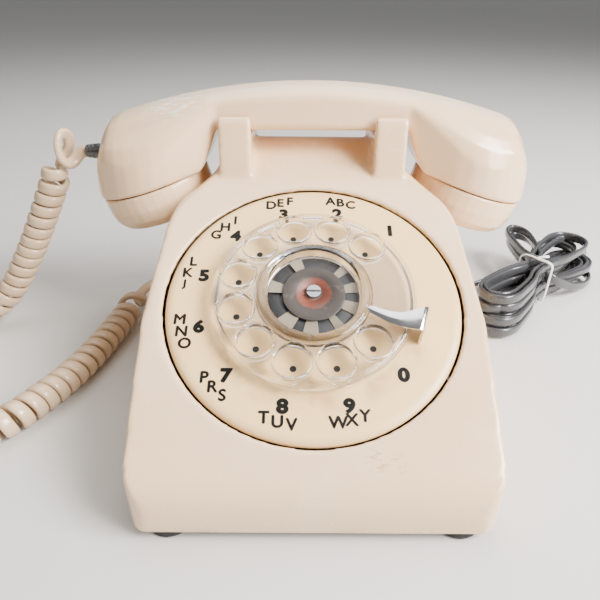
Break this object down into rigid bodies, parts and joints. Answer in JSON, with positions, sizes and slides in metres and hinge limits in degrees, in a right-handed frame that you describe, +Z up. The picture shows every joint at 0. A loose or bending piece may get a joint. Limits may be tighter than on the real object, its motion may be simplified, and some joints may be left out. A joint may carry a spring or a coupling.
{
  "type": "rotary desk telephone",
  "caption": "Ivory rotary desk telephone with a clear finger wheel, a cradled handset on a curly cord and a folded grey line cord.",
  "frame": {"origin": "on the surface it stands on, under the middle of the telephone's own box, cords left out", "axes": "+X to the right as the user faces the dial, along the handset; +Y from the user to the back; +Z up"},
  "size_m": [0.4515, 0.2593, 0.143],
  "materials": {
    "ivory_plastic": "glossy moulded plastic, warm ivory, lightly yellowed",
    "cream_plate": "satin moulded plastic, yellower cream with printed black characters",
    "clear_plastic": "clear acrylic, polished",
    "chrome": "bright plated steel",
    "steel": "plain stamped steel",
    "brass": "plain brass",
    "black_plastic": "matte black moulding",
    "rubber": "matte black rubber",
    "grey_vinyl": "satin grey vinyl jacket",
    "white_plastic": "white nylon",
    "ivory_vinyl": "glossy ivory vinyl jacket",
    "retainer": "light grey-beige stamped disc",
    "centre_orange": "faded orange-red disc",
    "copper_coil": "varnished winding"
  },
  "bodies": {
    "base": {"housing_shell": "ivory_plastic", "base_plate": "steel", "foot_front_left": "rubber", "foot_front_right": "rubber", "foot_rear_left": "rubber", "foot_rear_right": "rubber", "housing_screw_front": "steel", "housing_screw_rear": "steel", "number_plate": "cream_plate", "dial_case": "steel", "finger_stop": "chrome", "governor_cup": "steel", "mainspring_drum": "steel", "pulse_contact_springs": "brass", "dial_bracket_left": "steel", "dial_bracket_right": "steel", "ringer_frame": "steel", "ringer_coil": "copper_coil", "gong_left": "brass", "hook_switch_bracket": "steel", "hook_contact_stack": "black_plastic", "network_block": "black_plastic", "handset_cord_lead": "ivory_vinyl", "handset_cord_coil": "ivory_vinyl", "handset_cord_tail": "ivory_vinyl", "handset_cord_grommet": "ivory_vinyl", "line_cord_grommet": "grey_vinyl", "line_cord_lead": "grey_vinyl", "line_cord_hank": "grey_vinyl", "line_cord_tie": "white_plastic", "line_plug": "clear_plastic"},
    "dial_wheel": {"finger_wheel": "clear_plastic", "card_retainer": "retainer", "centre_disc": "centre_orange", "finger_wheel_screw": "steel", "main_gear": "brass", "main_shaft": "steel"},
    "second_gear": {"intermediate_gear": "brass", "pulse_cam": "black_plastic"},
    "governor": {"governor_shaft": "brass"},
    "handset": {"handset_shell": "ivory_plastic", "transmitter_cap": "ivory_plastic", "receiver_cap": "ivory_plastic", "transmitter_capsule": "steel", "receiver_capsule": "steel", "transmitter_cup": "black_plastic", "handset_grommet": "ivory_vinyl"},
    "plunger_left": {"plunger_left": "white_plastic"},
    "plunger_right": {"plunger_right": "white_plastic"},
    "hook": {"hook_lever": "steel"},
    "clapper": {"clapper": "steel"},
    "volume": {"volume_wheel": "black_plastic", "gong_right": "brass"}
  },
  "joints": [
    {"name": "handset_lift", "type": "slide", "parent": "base", "child": "handset", "axis": [0, 0, 1], "range_m": [0, 0.085]},
    {"name": "plunger_left_travel", "type": "slide", "parent": "base", "child": "plunger_left", "axis": [0, 0, 1], "range_m": [0, 0.007]},
    {"name": "plunger_right_travel", "type": "slide", "parent": "base", "child": "plunger_right", "axis": [0, 0, 1], "range_m": [0, 0.007]},
    {"name": "hook_lever_swing", "type": "hinge", "parent": "base", "child": "hook", "pos_m": [0, 0.0855, 0.058], "axis": [1, 0, 0], "range_deg": [-14.1, 0]},
    {"name": "dial_turn", "type": "hinge", "parent": "base", "child": "dial_wheel", "pos_m": [0, -0.0325, 0.0649], "axis": [0, -0.4587, 0.8886], "range_deg": [-312, 0], "stiffness_Nm_per_rad": 0.006, "springref_deg": 68.75},
    {"name": "second_gear_turn", "type": "hinge", "parent": "base", "child": "second_gear", "pos_m": [-0.0152, -0.00911, 0.07698], "axis": [0, -0.4587, 0.8886], "range_deg": [0, 1249]},
    {"name": "governor_turn", "type": "hinge", "parent": "base", "child": "governor", "pos_m": [-0.02645, -0.01749, 0.07265], "axis": [0, -0.4587, 0.8886], "range_deg": [-3747, 0]},
    {"name": "clapper_swing", "type": "hinge", "parent": "base", "child": "clapper", "pos_m": [0, 0.012, 0.012], "axis": [0, 0, 1], "range_deg": [-10, 10], "stiffness_Nm_per_rad": 0.002},
    {"name": "volume_wheel_turn", "type": "hinge", "parent": "base", "child": "volume", "pos_m": [0.033, 0.027, 0.003], "axis": [0, 0, 1], "range_deg": [0, 100]}
  ],
  "couplings": [
    {"joint": "plunger_left_travel", "follows": "handset_lift", "ratio": 0.082343},
    {"joint": "plunger_right_travel", "follows": "handset_lift", "ratio": 0.082343},
    {"joint": "hook_lever_swing", "follows": "handset_lift", "rad_per_m": -2.8821},
    {"joint": "second_gear_turn", "follows": "dial_turn", "ratio": -4},
    {"joint": "governor_turn", "follows": "dial_turn", "ratio": 12}
  ]
}
